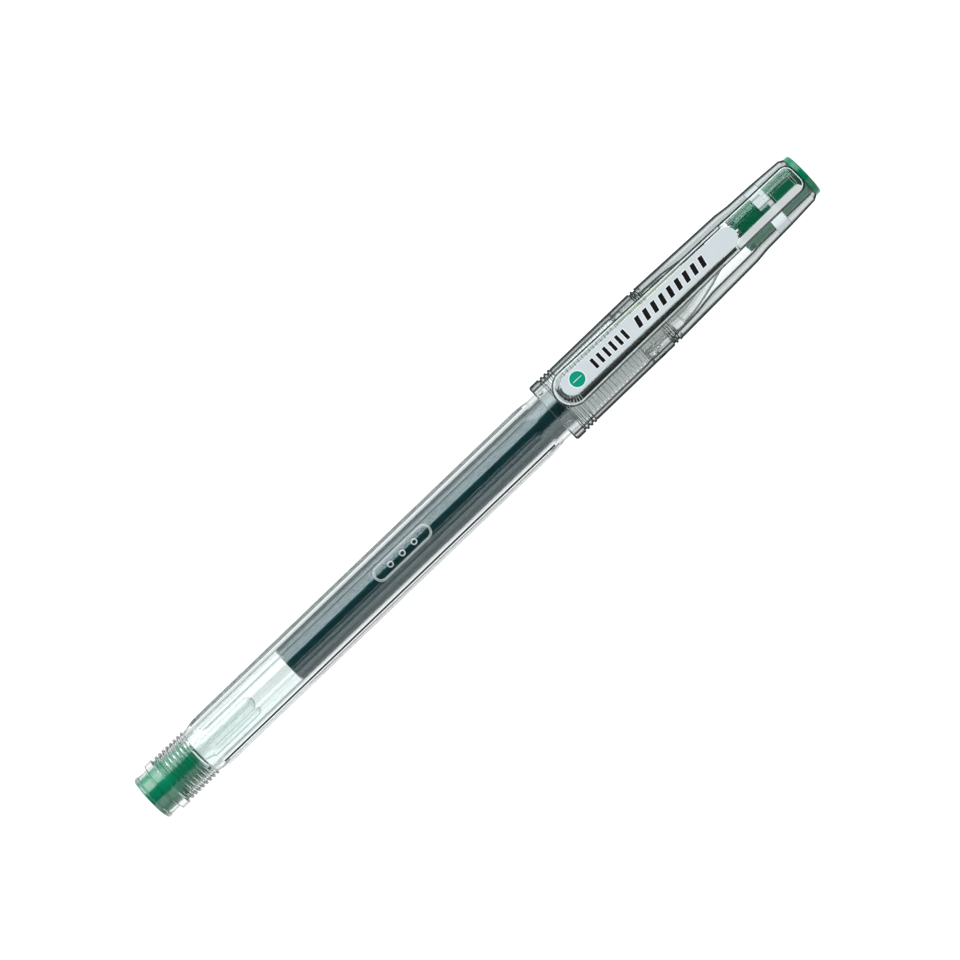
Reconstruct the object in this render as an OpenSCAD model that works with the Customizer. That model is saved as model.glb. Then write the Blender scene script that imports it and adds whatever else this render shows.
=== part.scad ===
// Capped gel ink pen with a needle tip, lying along X with its clip on top.
// Units are millimetres. The tail is at -X and the crown of the cap at +X.
// Each part is drawn by stations: distances along the pen, measured from the tail face.

/* [Barrel] */
// Length of the barrel, from the tail face to the front face
barrel_length = 108.2; // [100:0.2:120]
// Distance from the axis to each of the eight flats
flat_distance = 4.3; // [4.2:0.05:4.5]
// Radius of the rounding between two flats
flat_rounding = 0.5; // [0.3:0.1:0.8]
// Radius of the bore that holds the refill
bore_r = 3.35; // [3.3:0.05:3.4]
// Radius of the round neck behind the grip
neck_r = 4.2; // [4.1:0.05:4.25]

/* [Ribs] */
// Distance from one rib or ring to the next
rib_pitch = 0.77; // [0.7:0.01:0.8]
// Number of ribs on the grip
grip_ribs = 18; // [10:1:18]
// Number of ribs on the tail
tail_ribs = 8; // [4:1:8]

/* [Cap] */
// Length of the cap, from its mouth to the crown face
cap_length = 53.4; // [53:0.1:56]
// Depth of the barrel that the cap covers
cap_cover = 22.5; // [22.3:0.1:22.7]
// Radius of the lip at the mouth of the cap
lip_r = 5.48; // [5.45:0.01:5.6]
// Radius of the bore around the grip
cap_bore_r = 4.75; // [4.72:0.01:4.8]
// Radius of the head of the crown plug
crown_r = 3.77; // [3.6:0.01:3.9]

/* [Clip] */
// Width of the clip at its free end
clip_width = 6.2; // [5.4:0.1:6.4]
// Width of the clip at its root
clip_root_width = 5.2; // [4.8:0.1:5.4]
// Thickness of the clip
clip_thickness = 1.5; // [1.2:0.1:1.6]
// Height of the middle of the clip above the axis, at the free end
clip_rise = 7.86; // [7.7:0.02:8.2]

/* [Refill] */
// Outer radius of the ink tube
tube_r = 3.15; // [3.0:0.05:3.2]
// Bore radius of the ink tube
tube_bore_r = 2.65; // [2.5:0.05:2.7]
// Station where the ink ends and the grease follower begins
ink_end = 29.8; // [26:0.1:60]
// Diameter of the writing ball
ball_d = 0.5; // [0.5:0.01:0.54]

/* [Hidden] */
$fn = 96;

pen_length = barrel_length - cap_cover + cap_length;
fit = 0.01;      // gap left between two pieces that are pressed together
play = 0.1;      // gap left between two pieces that slide or turn
over = 1;        // how far a cutter runs past what it cuts
overlap = 0.4;   // how far two shapes of one piece reach into each other

// Tail of the barrel
tail_flange_r = 4.0;
tail_flange_end = 0.6;
tail_groove_r = 3.85;
collar_start = 2.7;
collar_end = 4.0;
collar_r = 4.45;
tail_root_r = 4.0;
tail_crest_r = 4.35;
tail_ribs_start = 4.5;
tail_ribs_end = tail_ribs_start + tail_ribs * rib_pitch;
body_start = 10.66;
taper_length = 2.9;

// Front of the barrel
front = barrel_length;
body_end = front - 24;
nub_station = front - 21.6;
ribs_start = front - 20;
ribs_end = ribs_start + grip_ribs * rib_pitch;
grip_crest_r = 4.48;
snap_station = front - 4.8;
snap_r = 4.62;
mouth_r = 4.3;
thread_bore_r = 3.75;
thread_length = 5.8;

// Tail plug
plug_head_r = 3.7;
plug_head = 0.5;
plug_end = 9.4;
plug_wall = 1.0;
plug_vent_r = 0.5;
peg_r = 0.3;
peg_ring_r = 2.9;
peg_turn = 14;

// Refill
tube_start = 10.3;
tube_end = front - 3.2;
holder_start = front - 6.7;
feed_r = 1.56;
holder_neck_r = 2.45;
shoulder = front - 1.3;
holder_cone = front + 3.1;
holder_front = front + 9;
holder_front_r = 1.35;
shank_r = 1.15;
shank_socket_r = 0.9;
shank_end = front + 13;
pipe_r = 0.36;
pipe_bore_r = ball_d / 2 + fit;
pipe_start = front + 10;
tip_end = front + 17.4;
ball_centre = tip_end - 0.14;

// Grease follower and its float
follower_start = tube_start + 0.1;
float_r = 1.25;
float_start = tube_start + 0.05;
float_tip = ink_end - 7.75;

// Nose cone
nose_flange = front + 1.7;
nose_end = front + 12.4;
nose_tip_r = 1.6;
spigot_r = 3.64;
thread_r = thread_bore_r - 0.03;

// Cap
mouth = front - cap_cover;
lip_end = mouth + 2;
ring_count = 3;
ring_length = 0.4;
ring_groove_r = 5.22;
wall_r = 5.38;
step_start = mouth + 20.9;
step_end = mouth + 22.5;
upper_r = 5.33;
upper_end = mouth + 38.9;
upper_end_r = 4.9;
waist = mouth + 41.3;
waist_r = 4.62;
crown_start = mouth + 46.5;
crown_start_r = 4.45;
shell_end = pen_length - 1;
shell_end_r = 4.15;
throat_r = 4.35;
throat_end = mouth + 26.8;
narrow_r = 3.65;
narrow_start = mouth + 30.6;
chamber_start = mouth + 40.9;
chamber_r = 3.35;
chamber_end = mouth + 44.3;
recess_start = mouth + 46.7;
recess_r = 3.05;
wall_hole_r = 0.45;
wall_pin_end = mouth + 45.9;
vent_r = 0.7;
vent_station = mouth + 18.5;
inner_cap_start = mouth + 39.2;
seal_r = 1.3;
seal_start = tip_end + 0.15;
seal_end = seal_start + 2.2;
tooth_gap = 1.1;
tooth_length = 1.1;

// Key of the crown plug, which snaps into a window of the cap
key_start = recess_start + 0.4;
key_end = shell_end - 1.6;
key_half = 0.95;
key_top = 3.7;

// Clip
pivot = mouth + 45.8;
pivot_height = 5.67;
knuckle_r = clip_thickness / 2;
free_end = mouth + 1.9;
clip_angle = atan2(clip_rise - pivot_height, pivot - free_end);
clip_reach = (pivot - free_end) / cos(clip_angle);
clip_root_length = 6.6;
root_corner_r = 1.7;
web_half = 2.2;
web_length = 6.1;
web_bottom = 3.2;
step_to_pivot = (pivot - (mouth + 37.7)) / cos(clip_angle);
low_bevel = 1.3;
edge_lip = 0.35;
low_edge = 0.3;
seat_half = 1.75;
end_centre = clip_reach - clip_width / 2;
label_width = 3.4;
label_thickness = 0.1;
label_gap = 1.6;
label_end = mouth + 39.3;

// Height of the axis, which puts the lowest point of the lip at z = 0
axis_height = lip_r;

clear_plastic = [0.86, 0.9, 0.9, 0.35];
green_plastic = [0.0, 0.5, 0.3];

// Moves a piece drawn by stations to its place in the row frame
module placed() {
    translate([-pen_length / 2, 0, axis_height]) children();
}

// Solid of revolution about the pen's axis, from points of [radius, station]
module lathe(points) {
    rotate([0, 90, 0]) rotate_extrude() polygon(points);
}

// Plain cylinder on the pen's axis, between two stations
module rod(r, from, to) {
    translate([from, 0, 0]) rotate([0, 90, 0]) cylinder(r = r, h = to - from);
}

// Outline of a row of ribs, as [radius, station] points with sloping sides
function rib_row(start, count, root, crest) = [
    for (i = [0:count - 1], p = [[root, 0.08], [crest, 0.23], [crest, 0.5], [root, 0.65]])
        [p[0], start + i * rib_pitch + p[1]]
];

// Octagon with rounded corners and a flat facing each axis
function rounded_octagon(distance, r) = [
    for (k = [0:7], j = [0:4])
        let (corner = k * 45 + 22.5, turn = k * 45 + j * 45 / 4, out = (distance - r) / cos(22.5))
            [out * cos(corner) + r * cos(turn), out * sin(corner) + r * sin(turn)]
];

module tail_of_barrel() {
    lathe(concat(
        [[0, 0], [tail_flange_r - 0.2, 0], [tail_flange_r, 0.2], [tail_flange_r, tail_flange_end],
         [tail_groove_r, tail_flange_end + 0.15], [tail_groove_r, collar_start - 0.2],
         [collar_r, collar_start], [collar_r, collar_end], [tail_root_r, collar_end + 0.2]],
        rib_row(tail_ribs_start, tail_ribs, tail_root_r, tail_crest_r),
        [[tail_root_r, tail_ribs_end], [tail_root_r, tail_ribs_end + 2], [0, tail_ribs_end + 2]]
    ));
}

module octagonal_body() {
    corner_r = (flat_distance - flat_rounding) / cos(22.5) + flat_rounding + 0.05;
    intersection() {
        lathe([[0, body_start], [tail_root_r + 0.05, body_start], [corner_r, body_start + taper_length],
               [corner_r, body_end - taper_length], [neck_r, body_end], [0, body_end]]);
        translate([body_start - over, 0, 0]) rotate([0, 90, 0])
            linear_extrude(body_end - body_start + 2 * over)
                polygon(rounded_octagon(flat_distance, flat_rounding));
    }
}

module grip() {
    lathe(concat(
        [[0, body_end - 2], [neck_r - 0.05, body_end - 2], [neck_r - 0.05, body_end - 0.3],
         [neck_r, body_end - 0.3]],
        rib_row(ribs_start, grip_ribs, neck_r, grip_crest_r),
        [[neck_r, ribs_end + 0.1], [snap_r, snap_station - 0.3], [snap_r, snap_station + 0.3],
         [mouth_r, snap_station + 0.8], [mouth_r, front - 0.2], [mouth_r - 0.2, front], [0, front]]
    ));
    for (k = [0:3])
        rotate([45 + 90 * k, 0, 0]) translate([nub_station, 0, neck_r - 0.5]) cylinder(r = 0.4, h = 0.75);
    translate([nub_station - 0.7, -0.1, neck_r - 0.5]) cube([2.2, 0.2, 0.65]);
}

module barrel() {
    color(clear_plastic) difference() {
        union() {
            tail_of_barrel();
            octagonal_body();
            grip();
        }
        rod(bore_r, -over, front + over);
        rod(plug_head_r + fit, -over, plug_head);
        rod(thread_bore_r, front - thread_length - 0.1, front + over);
    }
}

module tail_plug() {
    groove = 2.2;
    body_r = bore_r - fit;
    inner_r = body_r - plug_wall;
    color(green_plastic) {
        lathe([[plug_vent_r, 0], [plug_head_r, 0], [plug_head_r, plug_head - fit], [body_r, plug_head - fit],
               [body_r, groove], [body_r - 0.2, groove + 0.1], [body_r - 0.2, groove + 0.3],
               [body_r, groove + 0.4], [body_r, plug_end - 0.2], [body_r - 0.2, plug_end],
               [inner_r, plug_end], [inner_r, 1.4], [plug_vent_r, 1.4]]);
        for (k = [0:2])
            rotate([-peg_turn + 120 * k, 0, 0]) translate([plug_end - 0.2, 0, peg_ring_r])
                rotate([0, 90, 0]) cylinder(r = peg_r, h = tube_start - plug_end + 0.2 - fit);
    }
}

module nose_cone() {
    start = front - thread_length;
    inner_r = tube_r + play;
    color(clear_plastic) lathe([
        [inner_r, start], [spigot_r, start],
        [spigot_r, start + 1.0], [thread_r, start + 1.2], [thread_r, start + 1.5], [spigot_r, start + 1.7],
        [spigot_r, start + 2.2], [thread_r, start + 2.4], [thread_r, start + 2.7], [spigot_r, start + 2.9],
        [spigot_r, start + 3.4], [thread_r, start + 3.6], [thread_r, start + 3.9], [spigot_r, start + 4.1],
        [spigot_r, front + 0.02], [neck_r - 0.15, front + 0.02], [neck_r, front + 0.17],
        [neck_r, nose_flange], [neck_r - 0.1, nose_flange + 0.1],
        [3.82, front + 4.1], [3.32, front + 6.6], [2.68, front + 9.1], [1.95, front + 11.4],
        [nose_tip_r, nose_end - 0.15], [nose_tip_r - 0.15, nose_end],
        [shank_r + play, nose_end], [shank_r + play, holder_front + 0.2],
        [holder_front_r + play, holder_front + 0.1], [holder_neck_r + play, holder_cone + 0.2],
        [holder_neck_r + play, shoulder + 0.1], [inner_r, shoulder + 0.1]
    ]);
}

module refill_tube() {
    color([0.85, 0.9, 0.9, 0.3]) lathe([
        [tube_bore_r, tube_start], [tube_r, tube_start], [tube_r, tube_end], [tube_bore_r, tube_end]
    ]);
}

module ink() {
    color([0.02, 0.2, 0.2]) rod(tube_bore_r - fit, ink_end + fit, holder_start - fit);
}

module feed_ink() {
    color([0.02, 0.2, 0.2]) lathe([
        [0, holder_start], [feed_r - fit, holder_start], [feed_r - fit, front + 5.3 - fit], [0, front + 5.3 - fit]
    ]);
}

// Outline of the float, as [radius, station] points: a tapered tail and a round nose
function float_outline(gap) = let (r = float_r + gap, nose = float_tip - float_r) concat(
    [[0, float_start - gap], [r * 0.75, float_start - gap], [r, float_start + 1.6]],
    [for (a = [0:10:90]) [r * cos(a), nose + r * sin(a)]]
);

module follower() {
    color([0.9, 0.95, 0.93, 0.4]) difference() {
        rod(tube_bore_r - fit, follower_start, ink_end);
        lathe(float_outline(fit));
    }
}

module follower_float() {
    color([0.95, 0.97, 0.97, 0.6]) lathe(float_outline(0));
}

module tip_holder() {
    color([0.9, 0.93, 0.9, 0.5]) lathe([
        [feed_r, holder_start], [tube_bore_r - fit, holder_start], [tube_bore_r - fit, tube_end + fit],
        [tube_r, tube_end + fit], [tube_r, shoulder], [holder_neck_r, shoulder],
        [holder_neck_r, holder_cone], [holder_front_r, holder_front - 0.1], [holder_front_r, holder_front],
        [shank_socket_r + fit, holder_front], [shank_socket_r + fit, front + 5.3], [feed_r, front + 5.3]
    ]);
}

module tip_shank() {
    color([0.85, 0.7, 0.35]) lathe([
        [pipe_bore_r, front + 5.4], [shank_socket_r, front + 5.4], [shank_socket_r, holder_front + fit],
        [shank_r, holder_front + fit], [shank_r, front + 11.6], [shank_r - 0.1, front + 11.8],
        [pipe_r + 0.12, shank_end], [pipe_r + fit, shank_end],
        [pipe_r + fit, pipe_start - fit], [pipe_bore_r, pipe_start - fit]
    ]);
}

module needle_pipe() {
    lip_r = pipe_bore_r - 0.032;
    seat_r = 0.15;
    color([0.8, 0.8, 0.82]) lathe([
        [pipe_bore_r, pipe_start], [pipe_r, pipe_start], [pipe_r, tip_end - 0.6],
        [lip_r + 0.07, tip_end - 0.05], [lip_r + 0.04, tip_end], [lip_r, tip_end],
        [pipe_bore_r, tip_end - 0.1], [pipe_bore_r, ball_centre - 0.15], [seat_r, ball_centre - ball_d / 2],
        [seat_r, ball_centre - 0.4], [pipe_bore_r, ball_centre - 0.5]
    ]);
}

module writing_ball() {
    color([0.35, 0.35, 0.37]) translate([ball_centre, 0, 0]) sphere(d = ball_d);
}

// Outside of the cap: lip, three rings, plain wall, two rings and the tapering crown
module cap_outside() {
    rings = [for (i = [0:ring_count - 1], p = [[ring_groove_r, 0], [ring_groove_r, 0.25],
                                               [lip_r, 0.33], [lip_r, 0.33 + ring_length]])
                [p[0], lip_end + i * rib_pitch + p[1]]];
    rings_end = lip_end + ring_count * rib_pitch;
    lathe(concat(
        [[0, mouth], [lip_r - 0.25, mouth], [lip_r, mouth + 0.25], [lip_r, lip_end - 0.08]],
        rings,
        [[ring_groove_r, rings_end], [wall_r, rings_end + 0.1], [wall_r, step_start],
         [ring_groove_r - 0.1, step_start + 0.15], [ring_groove_r - 0.1, step_start + 0.4],
         [wall_r, step_start + 0.5], [wall_r, step_start + 0.75],
         [ring_groove_r - 0.1, step_start + 0.85], [ring_groove_r - 0.1, step_start + 1.2],
         [upper_r + 0.07, step_end - 0.3], [upper_r, step_end + 0.1],
         [upper_end_r, upper_end], [waist_r, waist], [crown_start_r, crown_start],
         [shell_end_r, shell_end - 0.7], [crown_r, shell_end], [0, shell_end]]
    ));
}

// Frame of the clip: x is 0 at the knuckle and runs towards the crown, and z is 0 mid-thickness
module on_clip() {
    translate([pivot, 0, pivot_height]) rotate([0, clip_angle, 0]) children();
}

// Plate between two heights: the first child is its plan at the bottom, and the second at the top
module plate(bottom, top) {
    skin = 0.01;
    hull() {
        translate([0, 0, bottom - skin]) linear_extrude(skin) children(0);
        translate([0, 0, top - skin]) linear_extrude(skin) children(1);
    }
}

module root_plan(inset) {
    w = clip_root_width / 2 - inset;
    r = root_corner_r - inset;
    far = clip_root_length - root_corner_r;
    polygon([[0, -w], [0, w], [far, w], [far, -w]]);
    for (side = [-1, 1]) translate([far, side * (w - r)]) circle(r = r, $fn = 32);
}

// Root of the clip on the crown of the cap, with a round seat for the clip's knuckle
module clip_root() {
    top = clip_thickness / 2;
    difference() {
        union() {
            on_clip() {
                translate([0, 0, -top]) linear_extrude(top + low_edge) root_plan(0);
                plate(low_edge, top) {
                    root_plan(0);
                    root_plan(low_bevel);
                }
            }
            translate([pivot, -web_half, web_bottom])
                cube([web_length, 2 * web_half, pivot_height - web_bottom - overlap]);
        }
        translate([pivot, -clip_width, pivot_height]) rotate([-90, 0, 0])
            cylinder(r = knuckle_r + 0.05, h = 2 * clip_width);
    }
}

module cap_inside() {
    lathe([[0, mouth - over], [cap_bore_r + 0.15, mouth - over], [cap_bore_r + 0.15, mouth],
           [cap_bore_r, mouth + 0.3], [cap_bore_r, snap_station - 1.5 - 0.4],
           [snap_r + 0.03, snap_station - 1.1], [cap_bore_r, snap_station - 0.7],
           [cap_bore_r, step_start], [throat_r, step_end + 0.4], [throat_r - 0.15, throat_end],
           [narrow_r, narrow_start], [narrow_r - 0.15, chamber_start - 1.6], [chamber_r, chamber_start],
           [chamber_r, chamber_end], [0, chamber_end]]);
    rod(wall_hole_r, chamber_end - over, recess_start + over);
    rod(recess_r, recess_start, shell_end + over);
}

// Key of the crown plug, or the window around it if a gap is given
module key(gap) {
    translate([key_start - gap, -key_half - gap, recess_r - overlap])
        cube([key_end - key_start + 2 * gap, 2 * (key_half + gap), key_top - recess_r + overlap + gap]);
}

module cap_shell() {
    color(clear_plastic) difference() {
        union() {
            cap_outside();
            clip_root();
        }
        cap_inside();
        key(fit);
        translate([vent_station, -wall_r - over, 0]) rotate([-90, 0, 0]) cylinder(r = vent_r, h = 2.2);
    }
}

module inner_cap() {
    teeth = 12;
    color(green_plastic) {
        difference() {
            lathe([[2.7, inner_cap_start], [chamber_r - 0.25, inner_cap_start],
                   [chamber_r - fit, chamber_start + 0.1], [chamber_r - fit, chamber_end - fit],
                   [0, chamber_end - fit], [0, seal_end + fit], [seal_r + fit, seal_end + fit],
                   [seal_r + fit, seal_start + 0.3]]);
            for (k = [0:teeth - 1])
                rotate([k * 360 / teeth, 0, 0])
                    translate([inner_cap_start - over, -tooth_gap / 2, seal_r + 0.1])
                        cube([over + tooth_length, tooth_gap, 3]);
        }
        rod(wall_hole_r - fit, chamber_end - fit - overlap, wall_pin_end);
    }
}

module tip_seal() {
    color([0.15, 0.6, 0.4]) rod(seal_r, seal_start, seal_end);
}

module crown_plug() {
    color(green_plastic) {
        lathe([
            [0, recess_start + 2], [1.9, recess_start + 2], [2.1, recess_start + fit],
            [recess_r - fit, recess_start + fit], [recess_r - fit, shell_end + fit], [crown_r, shell_end + fit],
            [crown_r, pen_length - 0.2], [crown_r - 0.2, pen_length], [0, pen_length]
        ]);
        key(0);
    }
}

// Half the clip's width at a distance from the knuckle
function clip_half(distance) = clip_root_width / 2
    + (clip_width - clip_root_width) / 2 * distance / end_centre;

module clip_stretch(from, to, inset) {
    a = clip_half(from) - inset;
    b = clip_half(to) - inset;
    polygon([[-from, -a], [-from, a], [-to, b], [-to, -b]]);
}

module clip_end(inset) {
    clip_stretch(step_to_pivot, end_centre, inset);
    translate([-end_centre, 0]) circle(r = clip_width / 2 - inset, $fn = 32);
}

// Flat seat of the label, of one width along its length
module label_seat() {
    translate([-end_centre, -seat_half]) square([end_centre - step_to_pivot, 2 * seat_half]);
    translate([-end_centre, 0]) circle(r = seat_half, $fn = 32);
}

module clip() {
    top = clip_thickness / 2;
    color(clear_plastic) on_clip() {
        translate([0, 0, -top]) linear_extrude(top) clip_end(0);
        plate(0, top) {
            clip_end(edge_lip);
            label_seat();
        }
        translate([0, 0, -top]) linear_extrude(top + low_edge) clip_stretch(0, step_to_pivot, 0);
        plate(low_edge, top) {
            clip_stretch(0, step_to_pivot, 0);
            clip_stretch(0, step_to_pivot, low_bevel);
        }
        translate([0, -web_half, 0]) rotate([-90, 0, 0]) cylinder(r = knuckle_r, h = 2 * web_half);
        translate([2.6 - clip_reach, -1, -top]) rotate([-90, 0, 0]) cylinder(r = 1.2, h = 2);
    }
}

module clip_label() {
    r = label_width / 2;
    far = clip_reach - label_gap - r;
    near = (pivot - label_end) / cos(clip_angle) + r;
    color([0.85, 0.87, 0.88]) on_clip() translate([0, 0, clip_thickness / 2 + fit])
        linear_extrude(label_thickness) {
            translate([-far, -r]) square([far - near, 2 * r]);
            translate([-far, 0]) circle(r = r);
            translate([-near, 0]) circle(r = r);
        }
}

placed() barrel();
placed() tail_plug();
placed() nose_cone();
placed() refill_tube();
placed() ink();
placed() feed_ink();
placed() follower();
placed() follower_float();
placed() tip_holder();
placed() tip_shank();
placed() needle_pipe();
placed() writing_ball();
placed() cap_shell();
placed() inner_cap();
placed() tip_seal();
placed() crown_plug();
placed() clip();
placed() clip_label();
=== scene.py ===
import math

import bmesh
import bpy
from mathutils import Matrix, Vector


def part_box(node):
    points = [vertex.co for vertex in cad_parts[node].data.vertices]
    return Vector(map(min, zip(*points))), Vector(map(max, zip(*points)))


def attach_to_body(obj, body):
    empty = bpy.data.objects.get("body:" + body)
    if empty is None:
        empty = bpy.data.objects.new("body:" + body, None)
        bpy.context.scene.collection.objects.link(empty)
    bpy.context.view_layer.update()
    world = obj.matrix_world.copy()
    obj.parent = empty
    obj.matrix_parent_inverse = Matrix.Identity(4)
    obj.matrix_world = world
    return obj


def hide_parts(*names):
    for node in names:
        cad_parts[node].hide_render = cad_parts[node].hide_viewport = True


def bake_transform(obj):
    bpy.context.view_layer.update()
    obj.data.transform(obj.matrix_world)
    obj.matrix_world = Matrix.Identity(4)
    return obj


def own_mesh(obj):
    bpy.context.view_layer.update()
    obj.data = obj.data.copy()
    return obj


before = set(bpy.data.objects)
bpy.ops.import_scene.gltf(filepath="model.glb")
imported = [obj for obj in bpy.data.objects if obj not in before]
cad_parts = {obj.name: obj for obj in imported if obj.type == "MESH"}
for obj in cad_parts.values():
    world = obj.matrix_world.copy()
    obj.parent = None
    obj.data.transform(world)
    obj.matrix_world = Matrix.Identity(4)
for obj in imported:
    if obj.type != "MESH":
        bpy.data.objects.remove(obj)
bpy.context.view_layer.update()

# ---------------------------------------------------------------------------
# Places along the pen. A station is a distance in millimetres from the tail
# face, and a radius is measured from the pen's axis.
# ---------------------------------------------------------------------------
MM = 0.001
TAIL_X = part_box("tail_plug")[0].x
AXIS_Z = (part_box("crown_plug")[0].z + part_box("crown_plug")[1].z) / 2


def station_of(x):
    """The station of a place on the X axis."""
    return (x - TAIL_X) / MM


def radius_of(point):
    """Distance of a point from the pen's axis, in mm."""
    return math.hypot(point.y, point.z - AXIS_Z) / MM


FRONT = station_of(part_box("barrel")[1].x)
SNAP = FRONT - 4.8
BODY_START = 10.66
BODY_END = FRONT - 24
BODY_TAPER = 2.9
GRIP_START = FRONT - 20
GRIP_RIBS = 18
MOUTH = station_of(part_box("cap_shell")[0].x)
LENGTH = station_of(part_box("crown_plug")[1].x)
SHELL_END = LENGTH - 1.0
INK_END = station_of(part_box("follower")[1].x)
HOLDER_START = station_of(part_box("tip_holder")[0].x)
TIP_END = station_of(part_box("needle_pipe")[1].x)
TUBE_START = station_of(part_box("refill_tube")[0].x)
TUBE_END = station_of(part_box("refill_tube")[1].x)

RIB_PITCH = 0.77
FLAT_DISTANCE = 4.3
FLAT_ROUNDING = 0.5
BORE_R = 3.35
NECK_R = 4.2
TUBE_R = 3.15
TUBE_BORE_R = 2.65
LIP_R = 5.478
FIT = 0.01
TURNS = 160


def place(station, y, height):
    """A point in the row frame, from a station, a sideways distance and a height above the axis, in mm."""
    return Vector((TAIL_X + station * MM, y * MM, AXIS_Z + height * MM))


# ---------------------------------------------------------------------------
# Mesh building
# ---------------------------------------------------------------------------
def rounded(points, radius=0.05, closed=True):
    """The same outline with each corner replaced by a short arc. Corners on the axis stay sharp."""
    result = []
    count = len(points)
    for i, corner in enumerate(points):
        if not closed and i in (0, count - 1):
            result.append(tuple(corner))
            continue
        here = Vector(corner)
        before = Vector(points[i - 1]) - here
        after = Vector(points[(i + 1) % count]) - here
        if here.x < 1e-6 or before.length < 1e-6 or after.length < 1e-6:
            result.append(tuple(corner))
            continue
        turn = math.pi - before.angle(after)
        if turn < math.radians(8):
            result.append(tuple(corner))
            continue
        reach = min(radius * math.tan(turn / 2), 0.42 * before.length, 0.42 * after.length)
        start = here + before.normalized() * reach
        end = here + after.normalized() * reach
        steps = max(2, round(math.degrees(turn) / 22))
        for k in range(steps + 1):
            t = k / steps
            result.append(tuple(start * (1 - t) ** 2 + here * 2 * t * (1 - t) + end * t ** 2))
    return result


def make_object(name, mesh):
    obj = bpy.data.objects.new(name, mesh)
    bpy.context.scene.collection.objects.link(obj)
    return obj


def revolve(name, outline, angles=None, radius_at=None):
    """A closed solid of revolution about the pen's axis, from an outline of (radius, station) points.
    radius_at(radius, station, angle) can pull the surface in from round."""
    angles = angles or [2 * math.pi * k / TURNS for k in range(TURNS)]
    verts, rings = [], []
    for radius, station in outline:
        if radius < 1e-6:
            rings.append([len(verts)])
            verts.append(place(station, 0, 0))
            continue
        rings.append(list(range(len(verts), len(verts) + len(angles))))
        for angle in angles:
            r = radius_at(radius, station, angle) if radius_at else radius
            verts.append(place(station, r * math.sin(angle), r * math.cos(angle)))
    faces = []
    for a, b in zip(rings, rings[1:] + rings[:1]):
        if len(a) == 1 and len(b) == 1:
            continue
        for k in range(len(angles)):
            n = (k + 1) % len(angles)
            quad = [a[k % len(a)], a[n % len(a)], b[n % len(b)], b[k % len(b)]]
            faces.append(list(dict.fromkeys(quad)))
    mesh = bpy.data.meshes.new(name)
    mesh.from_pydata(verts, [], faces)
    outward(mesh)
    return make_object(name, mesh)


def outward(mesh):
    """Turns every face of a closed mesh outwards."""
    bm = bmesh.new()
    bm.from_mesh(mesh)
    bmesh.ops.recalc_face_normals(bm, faces=bm.faces)
    if bm.calc_volume(signed=True) < 0:
        bmesh.ops.reverse_faces(bm, faces=bm.faces)
    bm.to_mesh(mesh)
    bm.free()


def loft(name, loops):
    """A closed solid through a stack of point loops of equal length, with a face over each end."""
    size = len(loops[0])
    verts = [p for ring in loops for p in ring]
    faces = [list(range(size)), list(range(len(verts) - size, len(verts)))]
    for level in range(len(loops) - 1):
        for k in range(size):
            n = (k + 1) % size
            a, b = level * size, (level + 1) * size
            faces.append([a + k, a + n, b + n, b + k])
    mesh = bpy.data.meshes.new(name)
    mesh.from_pydata(verts, [], faces)
    outward(mesh)
    return make_object(name, mesh)


def apply_modifiers(obj):
    graph = bpy.context.evaluated_depsgraph_get()
    mesh = bpy.data.meshes.new_from_object(obj.evaluated_get(graph))
    obj.modifiers.clear()
    obj.data = mesh


def combine(obj, other, operation):
    """A boolean of two closed meshes. The second one is used up."""
    modifier = obj.modifiers.new("boolean", "BOOLEAN")
    modifier.operation = operation
    modifier.solver = "EXACT"
    modifier.object = other
    apply_modifiers(obj)
    bpy.data.objects.remove(other)
    return obj


def move_piece(obj, turn, where):
    """Turns a piece that was built at the start of the pen's axis, and moves it to its place."""
    obj.data.transform(Matrix.Translation(-place(0, 0, 0)))
    obj.data.transform(turn)
    obj.data.transform(Matrix.Translation(where))


def shade(obj, sharp=32):
    """Smooth faces with sharp edges over an angle, and normals that keep flat faces flat."""
    for face in obj.data.polygons:
        face.use_smooth = True
    obj.data.set_sharp_from_angle(angle=math.radians(sharp))
    modifier = obj.modifiers.new("normals", "WEIGHTED_NORMAL")
    modifier.mode = "FACE_AREA"
    modifier.keep_sharp = True
    return obj


def attach(obj, material, slot, body, *nodes, sharp=32):
    """Gives a piece its material and its body, and hides the CAD nodes it stands for."""
    obj.data.materials.clear()
    obj.data.materials.append(material)
    shade(obj, sharp)
    if body:
        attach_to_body(obj, body)
    if nodes:
        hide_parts(*nodes)
    return obj


def rib_row(start, count, root, crest):
    """Outline points of a row of ribs with sloping sides."""
    sides = ((root, 0.08), (crest, 0.23), (crest, 0.5), (root, 0.65))
    return [(r, start + i * RIB_PITCH + s) for i in range(count) for r, s in sides]


# ---------------------------------------------------------------------------
# Materials
# ---------------------------------------------------------------------------
def new_material(name):
    material = bpy.data.materials.new(name)
    material.use_nodes = True
    tree = material.node_tree
    return material, tree.nodes, tree.links, tree.nodes["Principled BSDF"]


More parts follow.
